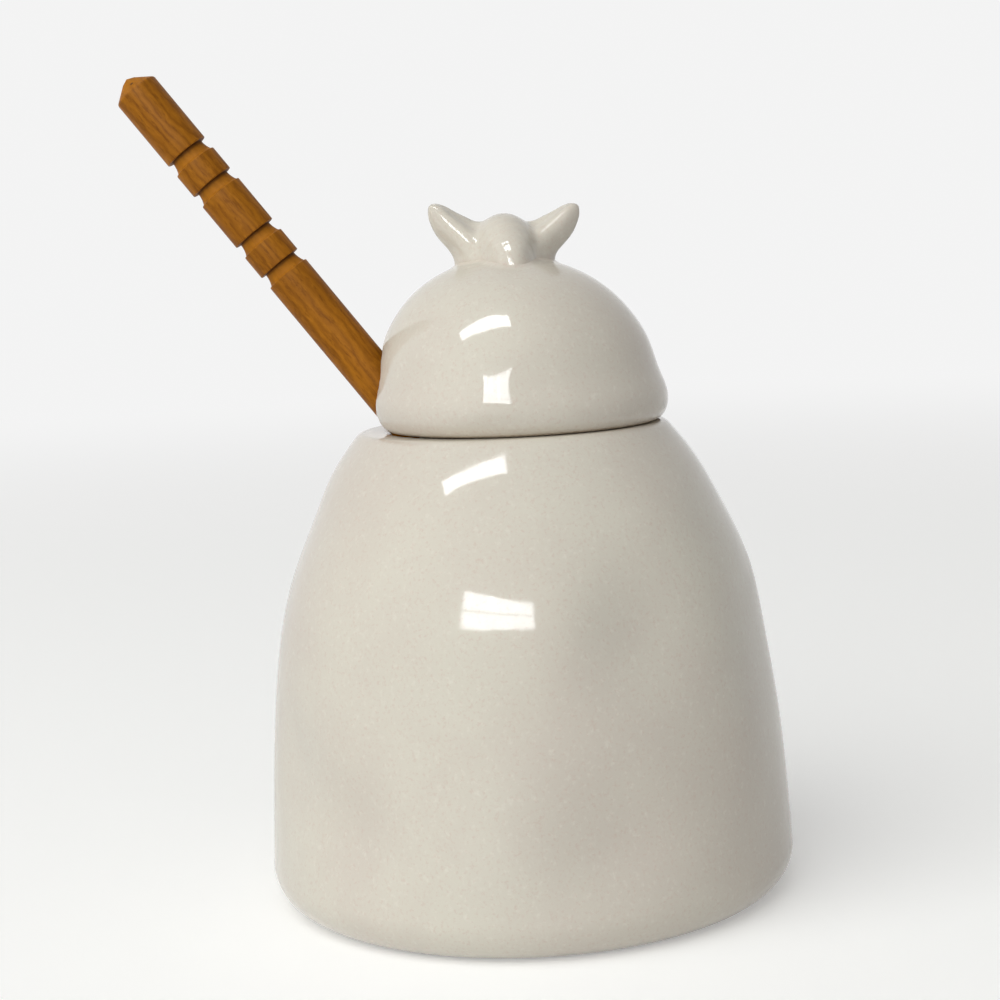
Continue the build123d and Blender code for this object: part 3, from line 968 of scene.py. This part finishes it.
class HONEYPOT_OT_stage(bpy.types.Operator):
    """Set the floor, the lamps, the backdrop and the camera."""
    bl_idname = "honeypot.stage"
    bl_label = "Stage"

    def execute(self, context):
        scene = context.scene
        tint = scene.pot_finishes
        ground = bmesh.new()
        bmesh.ops.create_circle(ground, cap_ends=True, radius=6, segments=96)
        floor = piece("floor", ground, False)
        graph = Graph(bpy.data.materials.new("pale_floor"))
        spot = graph.place()
        across, deep, _ = graph.parts(spot)
        far = (across * across + deep * deep) ** 0.5
        pale = graph.mix(graph.noise(spot, 90, 3), tint.floor, (0.83, 0.83, 0.825))
        lit = graph.add("ShaderNodeBsdfPrincipled", {}, {"Base Color": pale, "Roughness": 0.7})
        seen = graph.seen()
        lift = graph.add("ShaderNodeEmission", {}, {
            "Color": graph.mix(seen, (0, 0, 0), FLOOR_LIFT)})
        near = graph.add("ShaderNodeAddShader", {}, {0: graph.out(lit), 1: graph.out(lift)})
        glow = graph.add("ShaderNodeEmission", {}, {"Color": BACKDROP})
        fade = graph.add("ShaderNodeMixShader", {}, {
            0: graph.ease(far, 0.12, 1.3) * seen, 1: graph.out(near), 2: graph.out(glow)})
        graph.add("ShaderNodeOutputMaterial", {}, {"Surface": graph.out(fade)})
        floor.data.materials.append(graph.owner)

        scene.world = bpy.data.worlds.new("studio")
        graph = Graph(scene.world)
        fill = graph.add("ShaderNodeBackground", {}, {"Color": (1, 0.98, 0.94),
                                                      "Strength": 0.19})
        back = graph.add("ShaderNodeBackground", {}, {"Color": BACKDROP, "Strength": 1})
        blend = graph.add("ShaderNodeMixShader", {}, {
            0: graph.seen(), 1: graph.out(fill), 2: graph.out(back)})
        graph.add("ShaderNodeOutputWorld", {}, {"Surface": graph.out(blend)})

        lamp("soft_key", -37, 42, (2.0, 2.0), 2.2, tint=(0.985, 1, 0.975), seen=(1, 0))
        lamp("high_window", -39, 60, (0.8, 0.19), 13.0, 1.5, 38, WINDOW_TINT, (0, 1))
        for column in range(3):
            for row in range(2):
                lamp(f"pane_{column}{row}", -24.8 + column * 11.4, 19.5 + row * 8.6,
                     (0.28, 0.21), 11.0, 1.5, 0, WINDOW_TINT, (0, 1))

        camera = bpy.data.cameras.new("camera")
        camera.lens = 74.05
        camera.sensor_width = 36
        eye = bpy.data.objects.new("camera", camera)
        scene.collection.objects.link(eye)
        yaw, pitch, roll = map(math.radians, EYE_TURNS)
        ahead = Vector((math.sin(yaw) * math.cos(pitch), math.cos(yaw) * math.cos(pitch),
                        -math.sin(pitch)))
        right = Vector((math.cos(yaw), -math.sin(yaw), 0))
        up = right.cross(ahead)
        side = math.cos(roll) * right + math.sin(roll) * up
        top = -math.sin(roll) * right + math.cos(roll) * up
        turn = Matrix((side, top, -ahead)).transposed().to_4x4()
        eye.matrix_world = Matrix.Translation(EYE) @ turn
        scene.camera = eye
        scene.view_settings.view_transform = "Standard"
        return {"FINISHED"}


class HONEYPOT_PT_panel(bpy.types.Panel):
    """Lists the pieces of the honey pot."""
    bl_label = "Honey Pot"
    bl_idname = "HONEYPOT_PT_panel"
    bl_space_type = "VIEW_3D"
    bl_region_type = "UI"
    bl_category = "Honey Pot"

    def draw(self, context):
        scene = context.scene
        for group, operator in (("pot_sizes", "honeypot.pot"), ("lid_sizes", "honeypot.lid"),
                                ("bee_sizes", "honeypot.bee"),
                                ("dipper_sizes", "honeypot.dipper"),
                                ("pot_finishes", "honeypot.stage")):
            box = self.layout.box()
            box.operator(operator)
            values = getattr(scene, group)
            for key in values.__annotations__:
                box.prop(values, key)


GROUPS = {"pot_sizes": PotSizes, "lid_sizes": LidSizes, "bee_sizes": BeeSizes,
          "dipper_sizes": DipperSizes, "pot_finishes": Finishes}
OPERATORS = (HONEYPOT_OT_pot, HONEYPOT_OT_lid, HONEYPOT_OT_bee, HONEYPOT_OT_dipper,
             HONEYPOT_OT_stage)


def register():
    for key, group in GROUPS.items():
        bpy.utils.register_class(group)
        setattr(bpy.types.Scene, key, bpy.props.PointerProperty(type=group))
    for operator in OPERATORS:
        bpy.utils.register_class(operator)
    bpy.utils.register_class(HONEYPOT_PT_panel)


def unregister():
    bpy.utils.unregister_class(HONEYPOT_PT_panel)
    for operator in reversed(OPERATORS):
        bpy.utils.unregister_class(operator)
    for key, group in GROUPS.items():
        delattr(bpy.types.Scene, key)
        bpy.utils.unregister_class(group)


def main():
    register()
    bpy.ops.honeypot.pot()
    bpy.ops.honeypot.lid()
    bpy.ops.honeypot.bee()
    bpy.ops.honeypot.dipper()
    bpy.ops.honeypot.stage()


if __name__ == "__main__":
    main()
